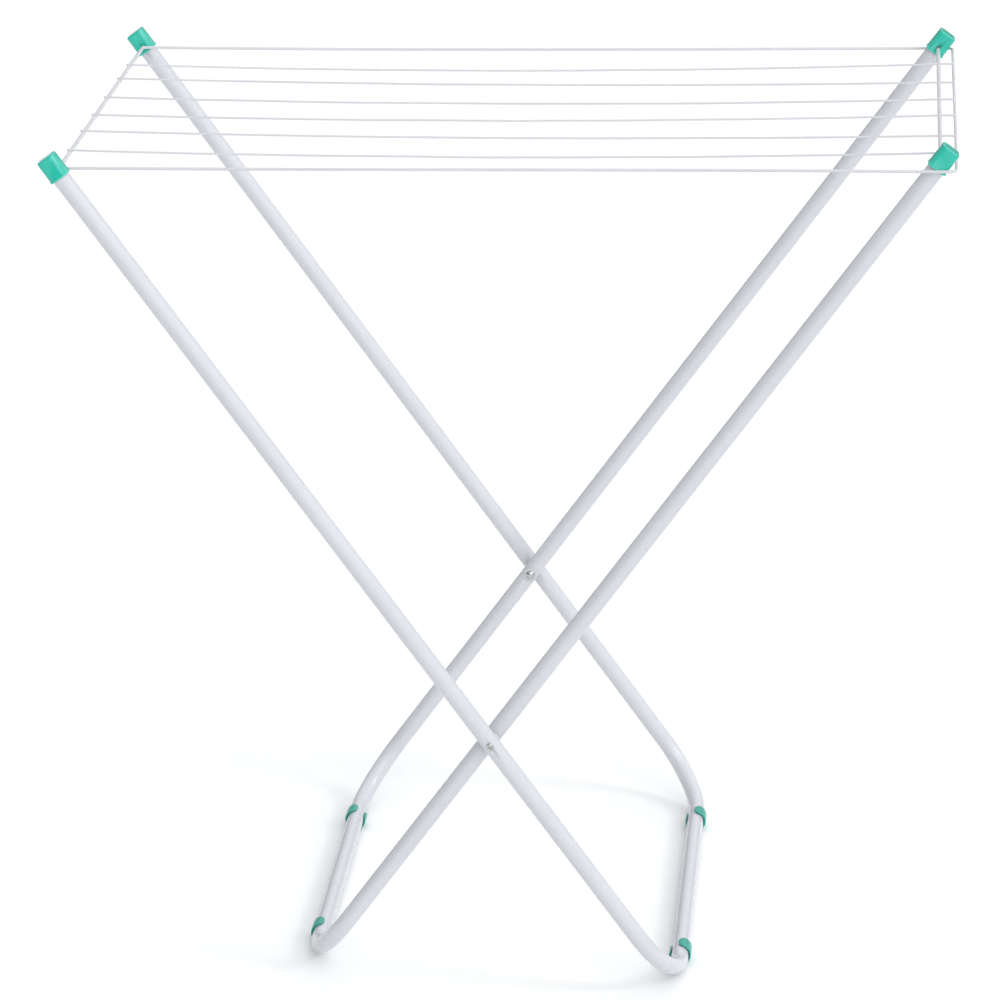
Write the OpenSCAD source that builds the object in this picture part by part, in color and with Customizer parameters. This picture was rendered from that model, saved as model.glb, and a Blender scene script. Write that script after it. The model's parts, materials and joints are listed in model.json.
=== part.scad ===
// Folding X-frame clothes drying rack: two bent-tube frames that cross at a pair of
// rivets, plastic end caps and foot clips, and a welded wire grid that hinges on the
// outer frame's caps and bridges to the inner frame's caps.
// Millimetres. +Z up, X along the lines, Y along the rods, origin under the middle.

/* [Frames] */
// Outside diameter of the frame tubes
tube_d = 19; // [16:0.5:23]
// Wall thickness of the frame tubes
tube_wall = 0.8; // [0.6:0.1:1.5]
// Depth over the legs of the outer frame
rack_depth = 588; // [480:1:720]
// Angle of every leg from the vertical when the rack stands open
leg_angle = 35.7; // [30:0.1:43]
// Length of the legs below the pivot, to the centre of the bottom bars
lower_leg = 345; // [280:1:420]
// Length of the outer frame's legs above the pivot
outer_upper_leg = 788; // [650:1:950]
// Length of the inner frame's legs above the pivot
inner_upper_leg = 812; // [670:1:980]
// Centreline radius of the bends at the bottom of the legs
bend_r = 75; // [50:1:95]

/* [End caps] */
// Length of a cap along its leg
cap_len = 26; // [22:0.5:34]
// Thickness of a cap's side walls where they are thinnest
cap_wall = 1; // [0.8:0.1:2]
// Thickness of a cap's closed end
cap_end = 3; // [2:0.5:5]
// Radius of a cap's long edges
cap_edge_r = 5.5; // [3:0.5:7]
// Chamfer round a cap's closed end
cap_chamfer = 1.2; // [0.5:0.1:2]
// Distance from a cap's closed end to the rod that enters its side
rod_inset = 19; // [14:0.5:19]

/* [Feet] */
// Length of a foot clip along its bottom bar
foot_len = 22; // [14:1:35]
// Wall thickness of a foot clip
foot_wall = 2.6; // [1.5:0.1:3]
// Width of the flat sole under a foot clip
sole_w = 8; // [5:0.5:10]
// Distance from the end of a bend to the foot clip
foot_setback = 10; // [3:1:30]

/* [Pivots] */
// Diameter of the rivets' shafts
rivet_d = 5; // [4:0.5:6]
// Diameter of the rivets' domed heads
rivet_head_d = 10.5; // [9:0.5:14]
// Height of the rivets' domed heads
rivet_head_h = 3; // [2:0.5:4]
// Diameter of the rivets' formed tails
rivet_tail_d = 8; // [6.5:0.1:9]
// Diameter of the spacers between the legs
spacer_d = 14; // [10:0.5:15]
// Diameter of the saddle washers under the rivets' heads
washer_d = 15; // [13:0.5:17]
// Thickness of the saddle washers where they are thinnest
washer_t = 1.2; // [0.8:0.1:2]

/* [Grid] */
// Diameter of the two cross rods
rod_d = 4.4; // [3.5:0.1:5]
// Diameter of the rim wire
rim_d = 3.2; // [2.5:0.1:4]
// Diameter of the inner wires
wire_d = 2.2; // [1.8:0.1:3]
// Centreline radius of the rim wire's two corners
rim_bend_r = 8; // [6:0.5:9]
// Free space each side of the rim wire where it passes the caps
rim_clear = 0.9; // [0.5:0.1:1.5]

/* [Hidden] */
$fn = 64;
wire_count = 6;

white_coat = [0.9, 0.91, 0.93];
teal = [0.15, 0.68, 0.58];

// Clearances
seat = 0.05;      // between pieces that are pushed or riveted together
running = 0.1;    // round a rod or shaft that turns in its hole
face_gap = 0.3;   // between faces that slide past each other
weld_seat = 0.02; // between a wire and the rod it is welded into
weld_sink = 0.25; // how far an inner wire sinks into the rods under it
stop_gap = 0.5;   // between the end wire and the caps it stops

// Widths across the rack
cap_w = tube_d + 2 * cap_wall;
leg_gap = 2 * cap_wall + rim_d + 2 * rim_clear;
outer_y = (rack_depth - tube_d) / 2;
inner_y = outer_y - tube_d - leg_gap;
rim_y = outer_y - cap_w / 2 - rim_clear - rim_d / 2;

// Side view of the open frames
bar_z = tube_d / 2 + foot_wall;
pivot_z = bar_z + lower_leg * cos(leg_angle);
pivot_x = -(inner_upper_leg - outer_upper_leg) / 2 * sin(leg_angle);
outer_bar_x = pivot_x + lower_leg * sin(leg_angle);
inner_bar_x = pivot_x - lower_leg * sin(leg_angle);

// Axes of the two cross rods, and the grid's slope between them
hinge_s = outer_upper_leg - rod_inset;
catch_s = inner_upper_leg - rod_inset;
hinge_x = pivot_x - hinge_s * sin(leg_angle);
hinge_z = pivot_z + hinge_s * cos(leg_angle);
catch_x = pivot_x + catch_s * sin(leg_angle);
catch_z = pivot_z + catch_s * cos(leg_angle);
grid_tilt = atan((catch_z - hinge_z) / (catch_x - hinge_x));
rod_span = norm([catch_x - hinge_x, catch_z - hinge_z]);

// Grid, in its own frame: origin on the hinge rod, +X towards the catch rod
rim_z = (rod_d - rim_d) / 2;
wire_z = (rod_d + wire_d) / 2 - weld_sink;
stop_reach = cap_w / 2 + stop_gap + rim_d / 2;
end_x = rod_span + (stop_reach + sin(leg_angle + grid_tilt) * rim_z) / cos(leg_angle + grid_tilt);
hinge_rod_half = outer_y - tube_d / 2 + 4;
catch_rod_half = inner_y - cap_w / 2 - face_gap;

// Where the inner wires cross the hinge rod and the catch rod, front to rear, as
// shares of the rim's half width: hand-laid wires are never quite even
wire_hinge_share = [-0.76, -0.46, -0.2, 0.09, 0.41, 0.65];
wire_catch_share = [-0.84, -0.58, -0.26, 0, 0.28, 0.6];

// Angles round a bottom bar, from the outer side upwards, of a foot clip's two tips
foot_long_tip = 100;
foot_short_tip = 160;

module outer_place() {
    translate([pivot_x, 0, pivot_z]) rotate([0, -leg_angle, 0]) children();
}

module inner_place() {
    translate([pivot_x, 0, pivot_z]) rotate([0, leg_angle, 0]) children();
}

module grid_place() {
    translate([hinge_x, 0, hinge_z]) rotate([0, -grid_tilt, 0]) children();
}

// The child as it is for the rear, mirrored for the front
module on_side(side) {
    mirror([0, side < 0 ? 1 : 0, 0]) children();
}

// A cylinder along Y from y0 to y1
module y_cylinder(d, y0, y1) {
    translate([0, y0, 0]) rotate([-90, 0, 0]) cylinder(d = d, h = y1 - y0);
}

module tube_ring() {
    difference() {
        circle(d = tube_d);
        circle(d = tube_d - 2 * tube_wall);
    }
}

// Outline of a cap across its leg: a square with rounded corners
function rounded_square(w, r, steps = 8) = [
    for (corner = [0:3], i = [0:steps])
        let (a = 90 * corner + 90 * i / steps, m = 45 + 90 * corner)
        [(w / 2 - r) * sign(cos(m)) + r * cos(a), (w / 2 - r) * sign(sin(m)) + r * sin(a)]
];

// ---- Frames ----

// One U-shaped tube: pivot at the origin, open leg ends up, bar at z = -lower_leg.
// hole_d is the bore round the rivets.
module bent_frame(half_y, upper_leg, hole_d) {
    straight_bottom = -(lower_leg - bend_r);
    leg_top = upper_leg - cap_end - seat;
    difference() {
        union() {
            for (side = [-1, 1]) on_side(side) {
                translate([0, half_y, straight_bottom])
                    linear_extrude(leg_top - straight_bottom) tube_ring();
                translate([0, half_y - bend_r, straight_bottom]) rotate([90, 0, 90])
                    rotate([0, 0, -90]) rotate_extrude(angle = 90)
                        translate([bend_r, 0]) tube_ring();
            }
            translate([0, -(half_y - bend_r), -lower_leg]) rotate([-90, 0, 0])
                linear_extrude(2 * (half_y - bend_r)) tube_ring();
        }
        for (side = [-1, 1]) on_side(side) {
            y_cylinder(hole_d, half_y - tube_d, half_y + tube_d);
            translate([0, 0, upper_leg - rod_inset])
                y_cylinder(rod_d + 2 * running, half_y - tube_d, half_y);
        }
    }
}

module outer_frame_tube() {
    color(white_coat) outer_place()
        bent_frame(outer_y, outer_upper_leg, rivet_d + 2 * seat);
}

module inner_frame_tube() {
    color(white_coat) inner_place()
        bent_frame(inner_y, inner_upper_leg, rivet_d + 2 * running);
}

// ---- End caps ----

// A cap on a rear leg: closed end at z = 0, rod hole in the side that faces -Y
module end_cap() {
    difference() {
        union() {
            translate([0, 0, -cap_len]) linear_extrude(cap_len - cap_chamfer)
                polygon(rounded_square(cap_w, cap_edge_r));
            hull() {
                translate([0, 0, -2 * cap_chamfer]) linear_extrude(cap_chamfer)
                    polygon(rounded_square(cap_w, cap_edge_r));
                translate([0, 0, -cap_chamfer]) linear_extrude(cap_chamfer)
                    polygon(rounded_square(cap_w - 2 * cap_chamfer, cap_edge_r - cap_chamfer));
            }
        }
        translate([0, 0, -cap_len - 1])
            cylinder(d = tube_d + 2 * seat, h = cap_len - cap_end + 1);
        translate([0, 0, -rod_inset]) y_cylinder(rod_d + 2 * running, -cap_w, 0);
    }
}

module outer_cap(side) {
    color(teal) outer_place() on_side(side)
        translate([0, outer_y, outer_upper_leg]) end_cap();
}

module inner_cap(side) {
    color(teal) inner_place() on_side(side)
        translate([0, inner_y, inner_upper_leg]) end_cap();
}

module outer_cap_front() { outer_cap(-1); }
module outer_cap_rear() { outer_cap(1); }
module inner_cap_front() { inner_cap(-1); }
module inner_cap_rear() { inner_cap(1); }

// ---- Foot clips ----

// A clip round a bottom bar on the +X side: the long arm reaches over the top from
// the outer side, the short arm holds the inner side, and the sole is flat
module foot_clip() {
    ring_r = tube_d / 2 + foot_wall;
    reach = 2 * ring_r;
    rotate([90, 0, 0]) linear_extrude(foot_len, center = true) difference() {
        union() {
            circle(r = ring_r);
            translate([-sole_w / 2, -ring_r]) square([sole_w, foot_wall]);
        }
        circle(d = tube_d + 2 * seat);
        polygon([
            [0, 0],
            reach * [cos(foot_long_tip), sin(foot_long_tip)],
            reach * [cos((foot_long_tip + foot_short_tip) / 2), sin((foot_long_tip + foot_short_tip) / 2)],
            reach * [cos(foot_short_tip), sin(foot_short_tip)]
        ]);
    }
}

// Distance of a clip's middle from the rack's middle plane
function foot_y(half_y) = half_y - bend_r - foot_setback - foot_len / 2;

module outer_foot(side) {
    color(teal) translate([outer_bar_x, side * foot_y(outer_y), bar_z]) foot_clip();
}

module inner_foot(side) {
    color(teal) translate([inner_bar_x, side * foot_y(inner_y), bar_z])
        mirror([1, 0, 0]) foot_clip();
}

module outer_foot_front() { outer_foot(-1); }
module outer_foot_rear() { outer_foot(1); }
module inner_foot_front() { inner_foot(-1); }
module inner_foot_rear() { inner_foot(1); }

// ---- Pivots ----

// Rear rivet along +Y, fast in the outer leg: domed head inside the inner leg, formed
// tail on the outer leg
module rivet() {
    head_y = inner_y - tube_d / 2 - washer_t - face_gap;
    tail_y = outer_y + tube_d / 2;
    tail_h = 1.4;
    dome_r = (pow(rivet_head_d / 2, 2) + pow(rivet_head_h, 2)) / (2 * rivet_head_h);
    y_cylinder(rivet_d, head_y, tail_y);
    intersection() {
        translate([0, head_y - rivet_head_h + dome_r, 0]) sphere(r = dome_r);
        y_cylinder(2 * rivet_head_d, head_y - rivet_head_h, head_y);
    }
    difference() {
        y_cylinder(rivet_tail_d, tail_y - tail_h, tail_y + tail_h);
        translate([0, outer_y, -tube_d]) cylinder(d = tube_d + 2 * weld_seat, h = 2 * tube_d);
        y_cylinder(rivet_tail_d / 2, tail_y + tail_h / 2, tail_y + 2 * tail_h);
    }
}

module pivot_rivet(side) {
    color("silver") outer_place() on_side(side) rivet();
}

// Rear spacer between the legs: seated round the outer leg, flat towards the inner leg
module spacer() {
    flat_y = inner_y + tube_d / 2 + face_gap;
    difference() {
        y_cylinder(spacer_d, flat_y, outer_y - tube_d / 4);
        y_cylinder(rivet_d + 2 * running, flat_y - 1, outer_y);
        translate([0, outer_y, -tube_d]) cylinder(d = tube_d + 2 * seat, h = 2 * tube_d);
    }
}

module pivot_spacer(side) {
    color("white") outer_place() on_side(side) spacer();
}

// Rear saddle washer: seated round the inner leg, flat towards the rivet's head
module saddle_washer() {
    flat_y = inner_y - tube_d / 2 - washer_t;
    difference() {
        y_cylinder(washer_d, flat_y, inner_y - tube_d / 4);
        y_cylinder(rivet_d + 2 * running, flat_y - 1, inner_y);
        translate([0, inner_y, -tube_d]) cylinder(d = tube_d + 2 * seat, h = 2 * tube_d);
    }
}

module pivot_washer(side) {
    color("white") inner_place() on_side(side) saddle_washer();
}

module pivot_rivet_front() { pivot_rivet(-1); }
module pivot_rivet_rear() { pivot_rivet(1); }
module pivot_spacer_front() { pivot_spacer(-1); }
module pivot_spacer_rear() { pivot_spacer(1); }
module pivot_washer_front() { pivot_washer(-1); }
module pivot_washer_rear() { pivot_washer(1); }

// ---- Grid ----

module hinge_rod(d) {
    y_cylinder(d, -hinge_rod_half, hinge_rod_half);
}

module catch_rod(d) {
    translate([rod_span, 0, 0]) y_cylinder(d, -catch_rod_half, catch_rod_half);
}

module end_wire(d) {
    half = rim_y - rim_bend_r;
    translate([end_x, 0, rim_z]) y_cylinder(d, -half, half);
}

module grid_hinge_rod() {
    color(white_coat) grid_place() hinge_rod(rod_d);
}

module grid_catch_rod() {
    color(white_coat) grid_place() catch_rod(rod_d);
}

// One wire bent to a U: it starts and ends on the hinge rod and passes round the
// outside of the inner frame's legs
module grid_rim_wire() {
    start_x = rod_d / 4;
    color(white_coat) grid_place() difference() {
        union() {
            for (side = [-1, 1]) on_side(side) {
                translate([end_x - rim_bend_r, rim_y, rim_z]) rotate([0, -90, 0])
                    cylinder(d = rim_d, h = end_x - rim_bend_r - start_x);
                translate([end_x - rim_bend_r, rim_y - rim_bend_r, rim_z])
                    rotate_extrude(angle = 90) translate([rim_bend_r, 0]) circle(d = rim_d);
            }
            end_wire(rim_d);
        }
        hinge_rod(rod_d + 2 * weld_seat);
    }
}

// Inner wire i, front to rear: laid over both rods and the end wire
module grid_wire(i) {
    hinge_share = wire_hinge_share[i - 1];
    catch_share = wire_catch_share[i - 1];
    skew = atan((catch_share - hinge_share) * rim_y / rod_span);
    overhang = rod_d / 2 + 1;
    color(white_coat) grid_place() difference() {
        translate([0, hinge_share * rim_y, wire_z]) rotate([0, 0, skew])
            translate([-overhang, 0, 0]) rotate([0, 90, 0])
                cylinder(d = wire_d, h = end_x + rim_d / 2 + overhang);
        hinge_rod(rod_d + 2 * weld_seat);
        catch_rod(rod_d + 2 * weld_seat);
        end_wire(rim_d + 2 * weld_seat);
    }
}

outer_frame_tube();
outer_cap_front();
outer_cap_rear();
outer_foot_front();
outer_foot_rear();
inner_frame_tube();
inner_cap_front();
inner_cap_rear();
inner_foot_front();
inner_foot_rear();
pivot_rivet_front();
pivot_rivet_rear();
pivot_spacer_front();
pivot_spacer_rear();
pivot_washer_front();
pivot_washer_rear();
grid_hinge_rod();
grid_catch_rod();
grid_rim_wire();
for (i = [1:wire_count]) {
    grid_wire(i);
}
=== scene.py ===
"""Looks of a folding clothes drying rack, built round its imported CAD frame.

Metres, +Z up, X along the lines, Y along the rods, front at -Y. Each visible piece is
built here in mesh code, stands for the CAD node that it is named after and rides on
that node's body. Places come from the frame's joints and boxes.
"""
import json
import math

import bmesh
import bpy
from mathutils import Matrix, Vector, noise


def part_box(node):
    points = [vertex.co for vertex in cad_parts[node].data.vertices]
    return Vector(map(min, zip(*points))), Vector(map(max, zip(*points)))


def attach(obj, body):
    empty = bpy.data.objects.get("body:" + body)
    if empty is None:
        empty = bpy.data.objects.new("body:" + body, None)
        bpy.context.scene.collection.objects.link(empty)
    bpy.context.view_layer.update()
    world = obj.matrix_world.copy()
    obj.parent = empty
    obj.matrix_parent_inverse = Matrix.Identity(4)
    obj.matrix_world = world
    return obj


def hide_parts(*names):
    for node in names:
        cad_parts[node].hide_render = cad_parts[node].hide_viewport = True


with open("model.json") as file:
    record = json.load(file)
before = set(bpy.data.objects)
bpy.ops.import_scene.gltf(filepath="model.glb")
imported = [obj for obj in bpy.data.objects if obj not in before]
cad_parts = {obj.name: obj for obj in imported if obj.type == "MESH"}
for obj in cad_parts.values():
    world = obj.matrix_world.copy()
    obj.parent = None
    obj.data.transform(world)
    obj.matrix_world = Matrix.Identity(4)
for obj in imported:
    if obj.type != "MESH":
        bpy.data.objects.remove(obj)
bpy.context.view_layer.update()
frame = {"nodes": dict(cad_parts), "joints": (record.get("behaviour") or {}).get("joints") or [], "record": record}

MM = 0.001

# ---- Sizes that the frame's boxes don't give ----

TUBE_R = 9.5 * MM
TUBE_WALL = 0.8 * MM
BEND_R = 75 * MM
CAP_LEN = 26 * MM
CAP_END = 3 * MM
CAP_HALF = 10.5 * MM
CAP_EDGE_R = 5.5 * MM
CAP_END_R = 1.9 * MM
CAP_LIP = 0.75 * MM
CAP_LIP_H = 2.2 * MM
CAP_DRAFT = 0.12 * MM
CAP_RIDGE = 0.09 * MM
ROD_INSET = 19 * MM
FOOT_LEN = 22 * MM
FOOT_WALL = 2.6 * MM
SOLE_HALF = 4 * MM
RIVET_R = 2.5 * MM
RIVET_HEAD_R = 5.25 * MM
RIVET_TAIL_R = 4 * MM
SPACER_R = 7 * MM
WASHER_R = 7.5 * MM
WASHER_T = 1.2 * MM
FACE_GAP = 0.3 * MM
ROD_R = 2.2 * MM
RIM_R = 1.6 * MM
WIRE_R = 1.1 * MM
WELD_SINK = 0.25 * MM
RIM_BEND_R = 8 * MM
SEAT = 0.05 * MM

# ---- How finely round shapes are drawn ----

TUBE_SIDES = 56
TUBE_STEP = 35 * MM
BEND_STEPS = 22
ROD_SIDES = 32
RIM_SIDES = 24
RIM_BEND_STEPS = 14
WIRE_SIDES = 18
RIVET_SIDES = 56
RING_SIDES = 48
HOLE_SIDES = 48
SADDLE_SIDES = 96
ROD_STEP = 12 * MM
WIRE_STEP = 10 * MM

UP = Vector((0, 0, 1))

# ---- Places, from the frame ----

joints = {j["name"]: j for j in frame["joints"]}
PIVOT = Vector(joints["leg_fold"]["pos_m"])
HINGE = Vector(joints["grid_swing"]["pos_m"])


def middle(node):
    low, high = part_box(node)
    return (low + high) / 2


CATCH = middle("grid_catch_rod")
LEG_ANGLE = math.atan2(PIVOT.x - HINGE.x, HINGE.z - PIVOT.z)
GRID_TILT = math.atan2(CATCH.z - HINGE.z, CATCH.x - HINGE.x)
ROD_SPAN = (CATCH - HINGE).length
OUTER_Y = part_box("outer_frame_tube")[1].y - TUBE_R
INNER_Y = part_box("inner_frame_tube")[1].y - TUBE_R
RIM_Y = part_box("grid_rim_wire")[1].y - RIM_R
BAR_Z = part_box("outer_frame_tube")[0].z + TUBE_R
LOWER_LEG = (PIVOT.z - BAR_Z) / math.cos(LEG_ANGLE)
OUTER_UPPER_LEG = (HINGE - PIVOT).length + ROD_INSET
INNER_UPPER_LEG = (CATCH - PIVOT).length + ROD_INSET


def turned(point, angle):
    """A frame of reference at point, turned about +Y."""
    return Matrix.Translation(point) @ Matrix.Rotation(angle, 4, "Y")


OUTER_LEG = turned(PIVOT, -LEG_ANGLE)
INNER_LEG = turned(PIVOT, LEG_ANGLE)
GRID = turned(HINGE, -GRID_TILT)
MIRROR_Y = Matrix.Diagonal((1, -1, 1, 1))
MIRROR_X = Matrix.Diagonal((-1, 1, 1, 1))
SIDES = {"front": -1, "rear": 1}


def side_of(sign):
    """The rear side is as built, the front is its mirror image."""
    return MIRROR_Y if sign < 0 else Matrix.Identity(4)


# ---- Mesh building ----


def smooth_step(t):
    t = min(1.0, max(0.0, t))
    return t * t * (3 - 2 * t)


def quarter_turn(steps):
    """Angles of a quarter turn's steps, without the first."""
    return [math.pi / 2 * i / steps for i in range(1, steps + 1)]


def circle(radius, sides):
    """Points round the origin, anticlockwise."""
    return [
        (radius * math.cos(math.tau * i / sides), radius * math.sin(math.tau * i / sides))
        for i in range(sides)
    ]


def add_loft(bm, rings, loop=False):
    """Adds a closed skin through rings of equal length: ends are filled unless it loops."""
    rows = [[bm.verts.new(p) for p in ring] for ring in rings]
    count = len(rows[0])
    pairs = list(zip(rows, rows[1:]))
    if loop:
        pairs.append((rows[-1], rows[0]))
    for a, b in pairs:
        for i in range(count):
            j = (i + 1) % count
            bm.faces.new((a[i], a[j], b[j], b[i]))
    if not loop:
        bm.faces.new(rows[0][::-1])
        bm.faces.new(rows[-1])


def finish_mesh(name, bm, place, sharp_deg=35):
    """Turns bm into a smooth-shaded object, in the row frame."""
    bmesh.ops.transform(bm, matrix=place, verts=bm.verts)
    bmesh.ops.recalc_face_normals(bm, faces=bm.faces)
    mesh = bpy.data.meshes.new(name)
    bm.to_mesh(mesh)
    bm.free()
    mesh.shade_smooth()
    mesh.set_sharp_from_angle(angle=math.radians(sharp_deg))
    piece = bpy.data.objects.new(name, mesh)
    bpy.context.scene.collection.objects.link(piece)
    return piece


def sweep(path, radius, sides, up, stretch=None):
    """Rings of a round bar along path. up is never along the path. radius is a number
    or a function of the station, stretch(station) gives scales across and along up."""
    rings = []
    outline = circle(1.0, sides)
    for i, point in enumerate(path):
        ahead = path[min(i + 1, len(path) - 1)] - path[max(i - 1, 0)]
        across = up.cross(ahead).normalized()
        over = ahead.cross(across).normalized()
        r = radius(i) if callable(radius) else radius
        wide, tall = stretch(i) if stretch else (1.0, 1.0)
        rings.append([point + across * (u * r * wide) + over * (v * r * tall) for u, v in outline])
    return rings


def rounded_ends(path, radius, steps=5):
    """Adds stations at both ends of a bar and gives (path, radii) of its domed ends."""
    first = (path[0] - path[1]).normalized()
    last = (path[-1] - path[-2]).normalized()
    angles = quarter_turn(steps)[:-1]
    head = [path[0] + first * (radius * math.sin(a)) for a in reversed(angles)]
    tail = [path[-1] + last * (radius * math.sin(a)) for a in angles]
    radii = [radius * math.cos(a) for a in reversed(angles)]
    return head + path + tail, radii + [radius] * len(path) + radii[::-1]


def straight(start, end, step):
    """Points from start up to, but without, end."""
    count = max(1, round((end - start).length / step))
    return [start.lerp(end, i / count) for i in range(count)]


def arc(centre, start, end, steps):
    """Points on a quarter turn about centre from start up to, but without, end."""
    a, b = start - centre, end - centre
    turn = math.pi / 2
    return [
        centre + a * math.cos(turn * i / steps) + b * math.sin(turn * i / steps)
        for i in range(steps)
    ]


def lathe(profile, sides):
    """Rings about the Y axis through (radius, y) pairs."""
    return [[Vector((r * u, y, r * v)) for u, v in circle(1.0, sides)] for r, y in profile]


def cut_with(piece, cutters):
    """Cuts closed cutter meshes out of piece and removes them."""
    for cutter in cutters:
        cut = piece.modifiers.new("cut", "BOOLEAN")
        cut.object = cutter
        cut.solver = "EXACT"
    graph = bpy.context.evaluated_depsgraph_get()
    mesh = bpy.data.meshes.new_from_object(piece.evaluated_get(graph))
    piece.modifiers.clear()
    piece.data = mesh
    for cutter in cutters:
        bpy.data.objects.remove(cutter)
    return piece


def y_cutter(place, profile, sides=40):
    bm = bmesh.new()
    add_loft(bm, lathe(profile, sides))
    return finish_mesh("cutter", bm, place)


# ---- Materials ----


UNIT = (0, 1)


def map_range(tree, source, target):
    """A node that maps the source span to the target span."""
    node = tree.nodes.new("ShaderNodeMapRange")
    for side, span in (("From", source), ("To", target)):
        node.inputs[f"{side} Min"].default_value = span[0]
        node.inputs[f"{side} Max"].default_value = span[1]
    return node


class Nodes:
    """A material's node tree with short ways to add what the finishes share."""

    def __init__(self, name):
        self.material = bpy.data.materials.new(name)
        self.material.use_nodes = True
        self.tree = self.material.node_tree
        self.shader = self.tree.nodes["Principled BSDF"]
        self.coords = self.tree.nodes.new("ShaderNodeTexCoord").outputs["Object"]

    def link(self, out, socket):
        self.tree.links.new(out, socket)

    def noise(self, scale, detail=3.0, rough=0.5, stretch=None):
        """Noise with about scale waves in a metre, drawn out along the axes by stretch."""
        node = self.tree.nodes.new("ShaderNodeTexNoise")
        node.inputs["Scale"].default_value = scale
        node.inputs["Detail"].default_value = detail
        node.inputs["Roughness"].default_value = rough
        coords = self.coords
        if stretch:
            mapping = self.tree.nodes.new("ShaderNodeMapping")
            mapping.inputs["Scale"].default_value = stretch
            self.link(coords, mapping.inputs["Vector"])
            coords = mapping.outputs["Vector"]
        self.link(coords, node.inputs["Vector"])
        return node.outputs["Fac"]

    def ranged(self, out, source, target):
        """Maps out from the source span to the target span, and holds it there."""
        node = map_range(self.tree, source, target)
        self.link(out, node.inputs["Value"])
        return node.outputs["Result"]

    def mixed(self, factor, first, second):
        """A colour between first and second; either may be a colour or an output."""
        node = self.tree.nodes.new("ShaderNodeMix")
        node.data_type = "RGBA"
        self.link(factor, node.inputs["Factor"])
        for socket, value in ((node.inputs[6], first), (node.inputs[7], second)):
            if isinstance(value, tuple):
                socket.default_value = (*value, 1)
            else:
                self.link(value, socket)
        return node.outputs[2]

    def edges(self, source):
        """0 on flats, 1 on outer edges, by the span of pointiness in source."""
        geometry = self.tree.nodes.new("ShaderNodeNewGeometry")
        return self.ranged(geometry.outputs["Pointiness"], source, UNIT)

    def set(self, **values):
        """Uniform values straight on the shader's sockets, with _ for a space."""
        for name, value in values.items():
            self.shader.inputs[name.replace("_", " ")].default_value = value

    def bumps(self, *layers):
        """Stacks (height output, depth in metres) layers into the shader's normal."""
        normal = None
        for height, depth in layers:
            node = self.tree.nodes.new("ShaderNodeBump")
            node.inputs["Strength"].default_value = 1
            node.inputs["Distance"].default_value = depth
            self.link(height, node.inputs["Height"])
            if normal:
                self.link(normal, node.inputs["Normal"])
            normal = node.outputs["Normal"]
        self.link(normal, self.shader.inputs["Normal"])

    def colour(self, out):
        self.link(out, self.shader.inputs["Base Color"])

    def roughness(self, scale, detail, smooth, rough):
        """Uneven gloss, from smooth to rough."""
        uneven = self.ranged(self.noise(scale, detail), (0.3, 0.7), (smooth, rough))
        self.link(uneven, self.shader.inputs["Roughness"])


def coat_material(name, pale, shade, gloss):
    """White powder or dip coat: orange peel over slow waves, and faint mottling."""
    n = Nodes(name)
    mottle = n.ranged(n.noise(scale=9, detail=4), (0.35, 0.65), UNIT)
    grime = n.ranged(n.noise(scale=55, detail=6, rough=0.65), (0.6, 0.8), (0, 0.15))
    dull = tuple(0.86 * c for c in shade)
    n.colour(n.mixed(grime, n.mixed(mottle, pale, shade), dull))
    n.roughness(scale=40, detail=5, smooth=gloss, rough=gloss + 0.1)
    orange_peel = n.noise(scale=380, detail=1)
    slow_waves = n.noise(scale=90, detail=1)
    n.bumps((orange_peel, 0.01 * MM), (slow_waves, 0.03 * MM))
    n.set(IOR=1.5, Coat_Weight=0.25, Coat_Roughness=0.12)
    return n.material


def plastic_material(name, body, deep, painted_highlight, gloss, grain_depth):
    """Moulded plastic: flow shading, moulded grain and a painted highlight: paler colour along the outer edges."""
    n = Nodes(name)
    flow = n.ranged(n.noise(scale=70, detail=3, stretch=(1, 1, 2.6)), (0.32, 0.68), UNIT)
    # Painted highlight: the outer edges, found by pointiness, are painted a paler colour where gloss would catch
    # the light.
    painted_highlight_mask = n.edges((0.52, 0.62))
    n.colour(n.mixed(painted_highlight_mask, n.mixed(flow, body, deep), painted_highlight))
    n.roughness(scale=420, detail=4, smooth=gloss, rough=gloss + 0.14)
    grain = n.noise(scale=1900, detail=3)
    sink_marks = n.noise(scale=130, detail=2)
    n.bumps((grain, grain_depth), (sink_marks, 0.04 * MM))
    n.set(IOR=1.5, Coat_Weight=0.2, Coat_Roughness=0.08)
    return n.material


def plate_material():
    """Bright nickel plate with fine tumbling marks."""
    n = Nodes("nickel_plate")
    cloud = n.ranged(n.noise(scale=240, detail=4), (0.3, 0.7), UNIT)
    n.colour(n.mixed(cloud, (0.56, 0.56, 0.54), (0.46, 0.47, 0.48)))
    n.roughness(scale=900, detail=5, smooth=0.1, rough=0.24)
    tumbling_marks = n.noise(scale=1500, detail=4, rough=0.7, stretch=(1, 6, 1))
    n.bumps((tumbling_marks, 0.001 * MM))
    n.set(Metallic=1.0)
    return n.material


def nylon_material():
    """Natural nylon: milky, slightly translucent."""
    n = Nodes("natural_nylon")
    cloud = n.ranged(n.noise(scale=150, detail=3), (0.3, 0.7), UNIT)
    n.colour(n.mixed(cloud, (0.6, 0.605, 0.61), (0.55, 0.555, 0.56)))
    n.roughness(scale=500, detail=3, smooth=0.35, rough=0.5)
    n.bumps((n.noise(scale=1200, detail=2), 0.003 * MM))
    n.set(IOR=1.53, Subsurface_Weight=0.1, Subsurface_Scale=0.002)
    return n.material


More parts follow.
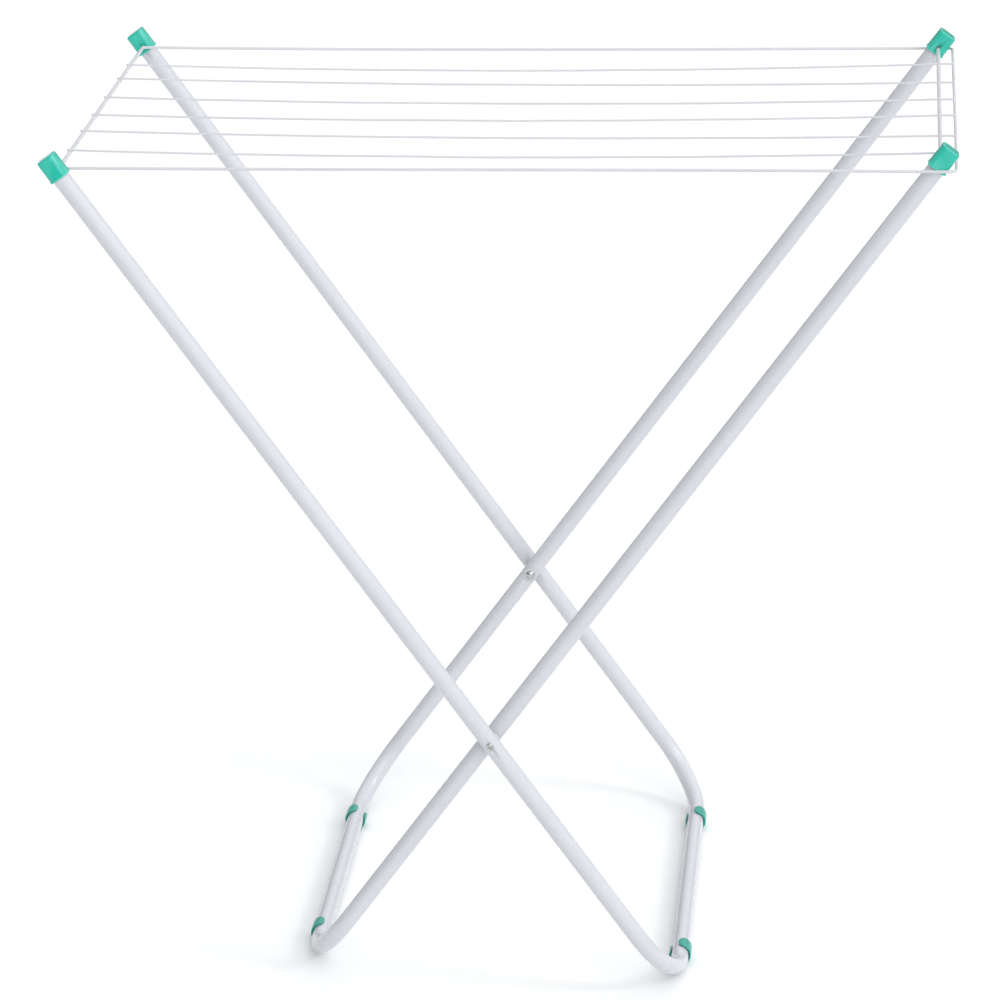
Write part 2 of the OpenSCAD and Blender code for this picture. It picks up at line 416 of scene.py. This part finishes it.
tube_coat = coat_material(
    "white_powder_coat", pale=(0.6, 0.608, 0.645), shade=(0.58, 0.588, 0.627), gloss=0.2
)
wire_coat = coat_material(
    "white_dip_coat", pale=(0.62, 0.62, 0.65), shade=(0.59, 0.59, 0.62), gloss=0.28
)
cap_plastic = plastic_material(
    "teal_cap_plastic",
    body=(0.018, 0.49, 0.375),
    deep=(0.015, 0.455, 0.35),
    painted_highlight=(0.07, 0.62, 0.5),
    gloss=0.13,
    grain_depth=0.002 * MM,
)
clip_plastic = plastic_material(
    "teal_clip_plastic",
    body=(0.02, 0.35, 0.275),
    deep=(0.016, 0.31, 0.245),
    painted_highlight=(0.05, 0.44, 0.36),
    gloss=0.34,
    grain_depth=0.006 * MM,
)
nickel = plate_material()
nylon = nylon_material()


def place_piece(piece, node, material):
    """Gives a piece its finish, lets it stand for its CAD node and ride on its body."""
    piece.data.materials.clear()
    piece.data.materials.append(material)
    bodies = frame["record"]["behaviour"]["bodies"]
    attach(piece, next(body for body, nodes in bodies.items() if node in nodes))
    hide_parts(node)
    return piece


# ---- Frames ----


def tube_path(half_y, top):
    """Stations of a U: down the front leg, along the bar and up the rear leg. Also
    the stations where the two bends start."""
    leg_end = -(LOWER_LEG - BEND_R)
    corner_y = half_y - BEND_R
    front_top, rear_top = Vector((0, -half_y, top)), Vector((0, half_y, top))
    front_leg_end, rear_leg_end = Vector((0, -half_y, leg_end)), Vector((0, half_y, leg_end))
    bar_front, bar_rear = Vector((0, -corner_y, -LOWER_LEG)), Vector((0, corner_y, -LOWER_LEG))
    path = straight(front_top, front_leg_end, TUBE_STEP)
    first_bend = len(path)
    path += arc(Vector((0, -corner_y, leg_end)), front_leg_end, bar_front, BEND_STEPS)
    path += straight(bar_front, bar_rear, TUBE_STEP)
    second_bend = len(path)
    path += arc(Vector((0, corner_y, leg_end)), bar_rear, rear_leg_end, BEND_STEPS)
    path += straight(rear_leg_end, rear_top, TUBE_STEP) + [rear_top]
    return path, (first_bend, second_bend)


def frame_tube(name, place, half_y, upper_leg):
    """A U-shaped tube with a wall, its bends drawn slightly oval, drilled for the
    rivets and the rod. Built in its leg's frame: pivot at the origin, legs up."""
    path, bend_starts = tube_path(half_y, upper_leg - CAP_END - SEAT)
    flattening, bulge = 0.045, 0.02

    def oval(i):
        """Half way round a bend the tube is thinner in the bend's plane, wider across it."""
        turns = [min(1, max(0, (i - start) / BEND_STEPS)) for start in bend_starts]
        bent = max(math.sin(math.pi * turn) for turn in turns)
        return 1 - flattening * bent, 1 + bulge * bent

    bm = bmesh.new()
    up = Vector((1, 0, 0))
    outside = sweep(path, TUBE_R, TUBE_SIDES, up, oval)
    inside = sweep(path, TUBE_R - TUBE_WALL, TUBE_SIDES, up, oval)
    add_loft(bm, outside + inside[::-1], loop=True)
    tube = finish_mesh(name, bm, place)
    within, beyond = half_y - 2 * TUBE_R, half_y + 2 * TUBE_R
    rivet_hole, rod_hole = RIVET_R + SEAT, ROD_R + 2 * SEAT
    cutters = []
    for sign in SIDES.values():
        pivot_at = place @ side_of(sign)
        rod_at = pivot_at @ Matrix.Translation((0, 0, upper_leg - ROD_INSET))
        cutters.append(y_cutter(pivot_at, ((rivet_hole, within), (rivet_hole, beyond))))
        cutters.append(y_cutter(rod_at, ((rod_hole, within), (rod_hole, half_y))))
    return cut_with(tube, cutters)


outer_tube = frame_tube("outer_frame", OUTER_LEG, OUTER_Y, OUTER_UPPER_LEG)
place_piece(outer_tube, "outer_frame_tube", tube_coat)
inner_tube = frame_tube("inner_frame", INNER_LEG, INNER_Y, INNER_UPPER_LEG)
place_piece(inner_tube, "inner_frame_tube", tube_coat)

# ---- End caps ----


def cap_outline(half, edge_r, ridge):
    """A square with round corners, faintly crowned sides and a moulding line, ridge high,
    along the middle of its two X sides."""
    crown = 0.12 * MM
    corner_steps = 10
    flat = half - edge_r
    half_shares = (0.82, 0.6, 0.3, 0.05, 0.018)
    shares = (*half_shares, 0.0, *(-share for share in reversed(half_shares)))
    points = []
    for corner in range(4):
        turn = Matrix.Rotation(math.pi / 2 * corner, 2)
        for a in [0, *quarter_turn(corner_steps)]:
            points.append(turn @ Vector((flat + edge_r * math.cos(a), flat + edge_r * math.sin(a))))
        on_x_side = corner % 2 == 1
        for share in shares:
            proud = crown * (1 - share * share)
            if on_x_side and share == 0:
                proud += ridge
            points.append(turn @ Vector((flat * share, half + proud)))
    return points


def cap_skin():
    """The cap's (half width, height) pairs from the mouth's edge to the closed end, which
    is at height 0: lip, step, drafted side and round top edge."""
    mouth = -CAP_LEN
    lip, lip_edge, fillet = CAP_LIP, 0.5 * MM, 0.35 * MM
    lip_top = mouth + CAP_LIP_H
    top_half = CAP_HALF - CAP_DRAFT
    skin = [
        (CAP_HALF + lip - lip_edge, mouth),
        (CAP_HALF + lip, mouth + lip_edge),
        (CAP_HALF + lip, lip_top - lip_edge),
        (CAP_HALF + lip / 4, lip_top),
        (CAP_HALF, lip_top + fillet),
        (top_half, -CAP_END_R),
    ]
    for a in quarter_turn(8):
        skin.append((top_half - CAP_END_R * (1 - math.cos(a)), -CAP_END_R * (1 - math.sin(a))))
    return skin


def rod_hole_profile():
    """A cutter's (radius, y) pairs for the rod's hole, flared where it leaves the cap."""
    hole_r, flare = ROD_R + 0.45 * MM, 0.6 * MM
    outer_y = -CAP_HALF - SEAT
    profile = [(hole_r, -0.5 * CAP_HALF), (hole_r, -CAP_HALF + flare)]
    for a in quarter_turn(6):
        profile.append((hole_r + flare * (1 - math.cos(a)), outer_y + flare * (1 - math.sin(a))))
    profile.append((hole_r + flare, -CAP_HALF - 2 * MM))
    return profile[::-1]


def end_cap(name, place, half_y, upper_leg, sign):
    """A rear cap, or its mirror image: closed end up, a lip round the mouth, and the
    rod's hole in the side that faces the middle of the rack."""
    mouth = -CAP_LEN
    bore_r = TUBE_R + SEAT
    lead_in, lead_in_h = 0.3 * MM, 0.5 * MM
    bore = [(bore_r, -CAP_END), (bore_r, mouth + lead_in_h), (bore_r + lead_in, mouth)]
    ridge_low, ridge_high = mouth + CAP_LIP_H, -0.5 * MM
    least_edge_r = 0.5 * MM
    rings = []
    outline = cap_outline(CAP_HALF, CAP_EDGE_R, 0)
    for r, z in bore:
        rings.append([Vector((*(p.normalized() * r), z)) for p in outline])
    for half, z in cap_skin():
        ridge = CAP_RIDGE if ridge_low < z < ridge_high else 0
        edge_r = max(CAP_EDGE_R - (CAP_HALF - half), least_edge_r)
        outline = cap_outline(half, edge_r, ridge)
        rings.append([Vector((p.x, p.y, z)) for p in outline])
    bm = bmesh.new()
    add_loft(bm, rings)
    at = place @ side_of(sign) @ Matrix.Translation((0, half_y, upper_leg))
    cap = finish_mesh(name, bm, at)
    rod_at = at @ Matrix.Translation((0, 0, -ROD_INSET))
    return cut_with(cap, [y_cutter(rod_at, rod_hole_profile(), HOLE_SIDES)])


for side, sign in SIDES.items():
    cap = end_cap(f"outer_leg_cap_{side}", OUTER_LEG, OUTER_Y, OUTER_UPPER_LEG, sign)
    place_piece(cap, f"outer_cap_{side}", cap_plastic)
    cap = end_cap(f"inner_leg_cap_{side}", INNER_LEG, INNER_Y, INNER_UPPER_LEG, sign)
    place_piece(cap, f"inner_cap_{side}", cap_plastic)

# ---- Foot clips ----


def rounded(corners, radius, steps=4):
    """A closed outline with its corners cut off and rounded, each by about radius."""
    points = []
    for i, corner in enumerate(corners):
        before, after = corners[i - 1], corners[(i + 1) % len(corners)]
        start = corner + (before - corner).normalized() * radius
        end = corner + (after - corner).normalized() * radius
        for k in range(steps + 1):
            t = k / steps
            points.append(start.lerp(corner, t).lerp(corner.lerp(end, t), t))
    return points


def clip_section(angle, half_len, to_tip):
    """One cross-section of the clip's band at an angle round the bar: rounded outside,
    relieved inside at both ends, thinned and eased off the bar near a tip, and flattened
    outside into the sole under the bar."""
    ease_len, tip_lift, thinning = 5 * MM, 0.35 * MM, 0.5
    sole_blend, relief_share, relief_len, round_share = 0.3, 0.45, 2.4 * MM, 0.3
    from_sole = abs(angle + math.pi / 2)
    sole_reach = math.atan2(SOLE_HALF, TUBE_R + FOOT_WALL)
    ease = 1 - smooth_step(to_tip / ease_len)
    inner_r = TUBE_R + SEAT + tip_lift * ease
    outer_r = inner_r + (FOOT_WALL - SEAT) * (1 - thinning * ease)
    if from_sole < (1 + sole_blend) * sole_reach:
        sole_r = (TUBE_R + FOOT_WALL) / math.cos(min(from_sole, sole_reach))
        fade = smooth_step((from_sole - sole_reach) / (sole_blend * sole_reach))
        outer_r = sole_r * (1 - fade) + outer_r * fade
    wall = outer_r - inner_r
    relieved_r = inner_r + relief_share * wall
    inset = half_len - relief_len
    corners = [
        Vector((half_len, outer_r)),
        Vector((-half_len, outer_r)),
        Vector((-half_len, relieved_r)),
        Vector((-inset, inner_r)),
        Vector((inset, inner_r)),
        Vector((half_len, relieved_r)),
    ]
    outline = rounded(corners, round_share * wall)
    return [Vector((r * math.cos(angle), y, r * math.sin(angle))) for y, r in outline]


def foot_clip(name, place):
    """A spring clip round the bar: the long arm comes over the top from the +X side,
    and both arms end in round, thinned tips."""
    long_tip, short_tip = math.radians(100), math.radians(-200)
    tip_len, tip_depth = 0.42 * FOOT_LEN, 0.86
    stations = 110
    rings = []
    for i in range(stations + 1):
        along = 0.5 - 0.5 * math.cos(math.pi * i / stations)
        angle = short_tip + (long_tip - short_tip) * along
        to_tip = min(angle - short_tip, long_tip - angle) * (TUBE_R + FOOT_WALL / 2)
        into_tip = max(0.0, 1 - to_tip / tip_len)
        narrowing = tip_len * (1 - math.sqrt(max(0.0, 1 - into_tip * into_tip))) * tip_depth
        rings.append(clip_section(angle, FOOT_LEN / 2 - narrowing, to_tip))
    bm = bmesh.new()
    add_loft(bm, rings)
    return finish_mesh(name, bm, place)


BAR_REACH = LOWER_LEG * math.sin(LEG_ANGLE)
for side in SIDES:
    for leg, toward, flip in (("outer", 1, Matrix.Identity(4)), ("inner", -1, MIRROR_X)):
        node = f"{leg}_foot_{side}"
        bar_x = PIVOT.x + toward * BAR_REACH
        at = Matrix.Translation((bar_x, middle(node).y, BAR_Z)) @ flip
        place_piece(foot_clip(f"{leg}_clip_{side}", at), node, clip_plastic)

# ---- Rivets ----


def rivet(name, sign):
    """Domed head inside the inner leg, shaft, and a tail rolled open on the outer leg."""
    head_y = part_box("pivot_rivet_rear")[0].y
    head_h, rim, edge, fillet = 3 * MM, 0.25 * MM, 0.1 * MM, 0.2 * MM
    seat_y = head_y + head_h
    dome_r = (RIVET_HEAD_R**2 + head_h**2) / (2 * head_h)
    dome_turn = 0.985 * math.asin(RIVET_HEAD_R / dome_r)
    dome_steps, roll_steps = 14, 10
    profile = []
    for i in range(1, dome_steps + 1):
        a = dome_turn * i / dome_steps
        profile.append((dome_r * math.sin(a), head_y + dome_r * (1 - math.cos(a))))
    profile.append((RIVET_HEAD_R, seat_y - rim))
    profile.append((RIVET_HEAD_R - edge, seat_y))
    profile.append((RIVET_R + fillet, seat_y))
    profile.append((RIVET_R, seat_y + fillet))
    leg_y = OUTER_Y + TUBE_R
    tail_base, roll_base = leg_y - 1.2 * MM, leg_y + 0.1 * MM
    roll_h, roll_w = 0.95 * MM, 1.1 * MM
    crest_r = RIVET_TAIL_R - roll_w
    profile.append((RIVET_R, tail_base))
    profile.append((RIVET_TAIL_R, tail_base))
    profile.append((RIVET_TAIL_R, roll_base))
    for i in range(1, roll_steps + 1):
        a = math.pi * i / roll_steps
        profile.append((crest_r + roll_w * math.cos(a), roll_base + roll_h * math.sin(a)))
    cup_r, cup_y = 1.5 * MM, leg_y - 0.6 * MM
    core_r, core_y = 0.3 * MM, leg_y - 0.75 * MM
    profile += [(cup_r, cup_y), (core_r, core_y)]
    bm = bmesh.new()
    add_loft(bm, lathe(profile, RIVET_SIDES))
    return finish_mesh(name, bm, OUTER_LEG @ side_of(sign), sharp_deg=40)


for side, sign in SIDES.items():
    place_piece(rivet(f"leg_rivet_{side}", sign), f"pivot_rivet_{side}", nickel)

# ---- Spacers and saddle washers ----


def saddle_ring(name, place, sign, radius, flat_y, leg_y):
    """A nylon ring round the rivet: flat on its inner side, hollowed on the other to
    sit round the leg at leg_y."""
    edge, chamfer = 0.5 * MM, 0.2 * MM
    base_y = leg_y - TUBE_R / 2
    hole_r = RIVET_R + 2 * SEAT
    profile = [(hole_r, base_y), (hole_r, flat_y + chamfer), (hole_r + chamfer, flat_y)]
    for a in [0, *quarter_turn(5)]:
        profile.append((radius - edge * (1 - math.sin(a)), flat_y + edge * (1 - math.cos(a))))
    profile.append((radius, base_y))
    at = place @ side_of(sign)
    bm = bmesh.new()
    add_loft(bm, lathe(profile, RING_SIDES), loop=True)
    ring = finish_mesh(name, bm, at)
    leg = [Vector((0, leg_y, -2 * TUBE_R)), Vector((0, leg_y, 2 * TUBE_R))]
    bm = bmesh.new()
    add_loft(bm, sweep(leg, TUBE_R + SEAT, SADDLE_SIDES, Vector((1, 0, 0))))
    return cut_with(ring, [finish_mesh("cutter", bm, at)])


SPACER_FACE_Y = INNER_Y + TUBE_R + FACE_GAP
WASHER_FACE_Y = INNER_Y - TUBE_R - WASHER_T
for side, sign in SIDES.items():
    ring = saddle_ring(f"leg_spacer_{side}", OUTER_LEG, sign, SPACER_R, SPACER_FACE_Y, OUTER_Y)
    place_piece(ring, f"pivot_spacer_{side}", nylon)
    ring = saddle_ring(f"saddle_washer_{side}", INNER_LEG, sign, WASHER_R, WASHER_FACE_Y, INNER_Y)
    place_piece(ring, f"pivot_washer_{side}", nylon)

# ---- Grid ----


def bar_mesh(bm, path, radius, sides, seed):
    """A dip-coated bar with domed ends: its radius is never quite even."""
    drift, waves_per_metre = 0.045, 60
    stations, radii = rounded_ends(path, radius)
    coat_seed = Vector((seed, 0, 0))
    coat = [drift * MM * noise.noise(p * waves_per_metre + coat_seed) for p in stations]
    uneven = [r + c * (r / radius) for r, c in zip(radii, coat)]
    add_loft(bm, sweep(stations, lambda i: uneven[i], sides, UP))


def cross_rod(name, x, half, seed):
    """A straight rod along Y in the grid's frame."""
    rear, front = Vector((x, half - ROD_R, 0)), Vector((x, -half + ROD_R, 0))
    bm = bmesh.new()
    bar_mesh(bm, straight(rear, front, ROD_STEP) + [front], ROD_R, ROD_SIDES, seed)
    return finish_mesh(name, bm, GRID)


rod_half = {n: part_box(n)[1].y for n in ("grid_hinge_rod", "grid_catch_rod")}
hinge_rod = cross_rod("hinge_rod", 0, rod_half["grid_hinge_rod"], seed=1)
place_piece(hinge_rod, "grid_hinge_rod", wire_coat)
catch_rod = cross_rod("catch_rod", ROD_SPAN, rod_half["grid_catch_rod"], seed=2)
place_piece(catch_rod, "grid_catch_rod", wire_coat)

TO_GRID = GRID.inverted()
RIM_Z = ROD_R - RIM_R
END_X = (TO_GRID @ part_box("grid_rim_wire")[1]).x - RIM_R
WIRE_Z = ROD_R + WIRE_R - WELD_SINK


def weld_bead(bm, centre, along, across, tall):
    """A small fillet of coat and weld metal round a crossing."""
    size = Matrix.Diagonal((along, across, tall, 1))
    at = Matrix.Translation(centre) @ size
    bmesh.ops.create_uvsphere(bm, u_segments=20, v_segments=12, radius=1, matrix=at)


def share_of_span(x):
    """0 at the hinge rod, 1 at the catch rod and past it."""
    return min(1, max(0, x / ROD_SPAN))


def rim_drop(p):
    """How far the rim is bent down at p: its sides drop soon after the hinge rod, its
    corners stay low, and the end wire rises again to carry the inner wires."""
    front_drop, front_end_drop, rear_drop = 3.2 * MM, 3.2 * MM, 5.5 * MM
    corner_len = 70 * MM
    t = share_of_span(p.x)
    early = 1 - (1 - t) ** 3
    side_drop = front_drop * early + front_end_drop * t**4 if p.y < 0 else rear_drop * early
    return side_drop * (1 - smooth_step((RIM_Y - abs(p.y)) / corner_len))


def rim_wire(name):
    """One wire bent to a U round the outside of the inner frame's legs, with the beads
    that hold it to the hinge rod."""

    def at(x, y):
        return Vector((x, y, RIM_Z))

    corner_x, corner_y = END_X - RIM_BEND_R, RIM_Y - RIM_BEND_R
    start_x = 0.4 * ROD_R
    front_corner, rear_corner = at(corner_x, -RIM_Y), at(corner_x, RIM_Y)
    end_front, end_rear = at(END_X, -corner_y), at(END_X, corner_y)
    rear_start = at(start_x, RIM_Y)
    path = straight(at(start_x, -RIM_Y), front_corner, ROD_STEP)
    path += arc(at(corner_x, -corner_y), front_corner, end_front, RIM_BEND_STEPS)
    path += straight(end_front, end_rear, ROD_STEP)
    path += arc(at(corner_x, corner_y), end_rear, rear_corner, RIM_BEND_STEPS)
    path += straight(rear_corner, rear_start, ROD_STEP) + [rear_start]
    for p in path:
        p.z -= rim_drop(p)
    bm = bmesh.new()
    bar_mesh(bm, path, RIM_R, RIM_SIDES, seed=3)
    bead_x, bead_z = 1.1 * ROD_R, 0.6 * RIM_Z
    for y in (-RIM_Y, RIM_Y):
        bead = Vector((bead_x, y, bead_z))
        weld_bead(bm, bead, along=2.2 * MM, across=2.1 * MM, tall=1.9 * MM)
    return finish_mesh(name, bm, GRID)


place_piece(rim_wire("rim_wire"), "grid_rim_wire", wire_coat)


def mean_y(points):
    return (min(p.y for p in points) + max(p.y for p in points)) / 2


def inner_wire(name, node, sag, seed):
    """A thin wire over both rods and down to the end wire, with its welds. Its ends come
    from the CAD node; between the rods it hangs and wanders a little."""
    node_points = [TO_GRID @ v.co for v in frame["nodes"][node].data.vertices]
    near_hinge = 10 * MM
    start_y = mean_y([p for p in node_points if p.x < near_hinge])
    end_y = mean_y([p for p in node_points if p.x > ROD_SPAN])
    start = Vector((-ROD_R, start_y, WIRE_Z))
    end = Vector((END_X + 0.4 * RIM_R, end_y, WIRE_Z))
    end_drop = rim_drop(Vector((END_X, end_y, RIM_Z)))
    wave, waves, wander, wanders = 0.5 * MM, 9, 1.2 * MM, 5
    path = straight(start, end, WIRE_STEP) + [end]
    for p in path:
        t = share_of_span(p.x)
        p.z -= end_drop * smooth_step((p.x - ROD_SPAN) / (END_X - ROD_SPAN))
        hang = math.sin(math.pi * t) ** 0.8
        p.z += (-sag + wave * noise.noise(Vector((waves * t, seed, 0)))) * hang
        p.y += wander * noise.noise(Vector((wanders * t, seed, 7))) * math.sin(math.pi * t)
    bm = bmesh.new()
    bar_mesh(bm, path, WIRE_R, WIRE_SIDES, seed)
    bead_z = ROD_R - 0.1 * MM
    for x, lower_r, drop in ((0, ROD_R, 0), (ROD_SPAN, ROD_R, 0), (END_X, RIM_R, end_drop)):
        y = start_y + (end_y - start_y) * x / END_X
        bead = Vector((x, y, bead_z - drop))
        weld_bead(bm, bead, along=1.1 * lower_r, across=1.9 * MM, tall=1.15 * MM)
    return finish_mesh(name, bm, GRID)


SAGS = (6.3 * MM, 5.2 * MM, 6.3 * MM, 6.2 * MM, 5.0 * MM, 7.3 * MM)
for i, sag in enumerate(SAGS, start=1):
    wire = inner_wire(f"line_wire_{i}", f"grid_wire_{i}", sag, seed=10 + i)
    place_piece(wire, f"grid_wire_{i}", wire_coat)

# ---- Stage: camera, floor and lights ----


def look_from(azimuth, elevation, roll, distance, target, lens):
    """A camera at azimuth and elevation round target, as the frame's views count them,
    turned by roll about its own axis. Angles in degrees, lens in millimetres."""
    a, e = math.radians(azimuth), math.radians(elevation)
    back = Vector((math.sin(a) * math.cos(e), -math.cos(a) * math.cos(e), math.sin(e)))
    level = Vector((math.cos(a), math.sin(a), 0))
    upward = back.cross(level)
    r = math.radians(roll)
    right = level * math.cos(r) + upward * math.sin(r)
    data = bpy.data.cameras.new("camera")
    data.lens = lens
    data.sensor_width = 36
    data.clip_end = 100
    camera = bpy.data.objects.new("camera", data)
    turn = Matrix((right, back.cross(right), back)).transposed().to_4x4()
    camera.matrix_world = Matrix.Translation(target + back * distance) @ turn
    bpy.context.scene.collection.objects.link(camera)
    bpy.context.scene.camera = camera


look_from(
    azimuth=5.01,
    elevation=19.01,
    roll=-0.24,
    distance=5.075,
    target=Vector((-0.021, 0, 0.4706)),
    lens=163.24,
)


def surround():
    """A pale surround, darker towards the horizon and on the left, as in a room lit from
    the right. The camera itself sees it even."""
    world = bpy.data.worlds.new("studio_surround")
    bpy.context.scene.world = world
    world.use_nodes = True
    tree = world.node_tree
    coords = tree.nodes.new("ShaderNodeTexCoord")
    split = tree.nodes.new("ShaderNodeSeparateXYZ")
    seen = tree.nodes.new("ShaderNodeLightPath")
    product = tree.nodes.new("ShaderNodeMath")
    strength = tree.nodes.new("ShaderNodeMix")
    product.operation = "MULTIPLY"
    tree.links.new(coords.outputs["Generated"], split.inputs["Vector"])
    horizon_to_top = ("Z", (0.04, 0.4), (0.12, 1.2))
    left_to_right = ("X", (-0.85, 0.1), (0.4, 1.0))
    for i, (axis, source, target) in enumerate((horizon_to_top, left_to_right)):
        ramp = map_range(tree, source, target)
        tree.links.new(split.outputs[axis], ramp.inputs["Value"])
        tree.links.new(ramp.outputs["Result"], product.inputs[i])
    tree.links.new(seen.outputs["Is Camera Ray"], strength.inputs[0])
    tree.links.new(product.outputs["Value"], strength.inputs[2])
    strength.inputs[3].default_value = 1
    background = tree.nodes["Background"]
    background.inputs["Color"].default_value = (0.97, 0.985, 1, 1)
    tree.links.new(strength.outputs[0], background.inputs["Strength"])


def soft_sun(name, towards, angle_deg, strength):
    """Even light over the whole floor, from the direction towards, soft by its angle."""
    data = bpy.data.lights.new(name, "SUN")
    data.energy = strength
    data.angle = math.radians(angle_deg)
    lamp = bpy.data.objects.new(name, data)
    lamp.rotation_mode = "QUATERNION"
    lamp.rotation_quaternion = Vector(towards).to_track_quat("Z", "Y")
    bpy.context.scene.collection.objects.link(lamp)


def studio():
    """A wide pale floor under an even surround, a soft key from the right, a front fill."""
    bm = bmesh.new()
    half_size = 40
    bmesh.ops.create_grid(bm, x_segments=1, y_segments=1, size=half_size)
    floor = finish_mesh("studio_floor", bm, Matrix.Identity(4))
    n = Nodes("studio_floor_paint")
    n.set(Base_Color=(0.93, 0.93, 0.93, 1), Roughness=0.9, Specular_IOR_Level=0.1)
    floor.data.materials.append(n.material)
    surround()
    soft_sun("key", towards=(0.8, -0.2, 0.63), angle_deg=14, strength=0.5)
    soft_sun("front", towards=(0.35, -1, 0.5), angle_deg=50, strength=0.8)
    bpy.context.scene.view_settings.view_transform = "Standard"


studio()
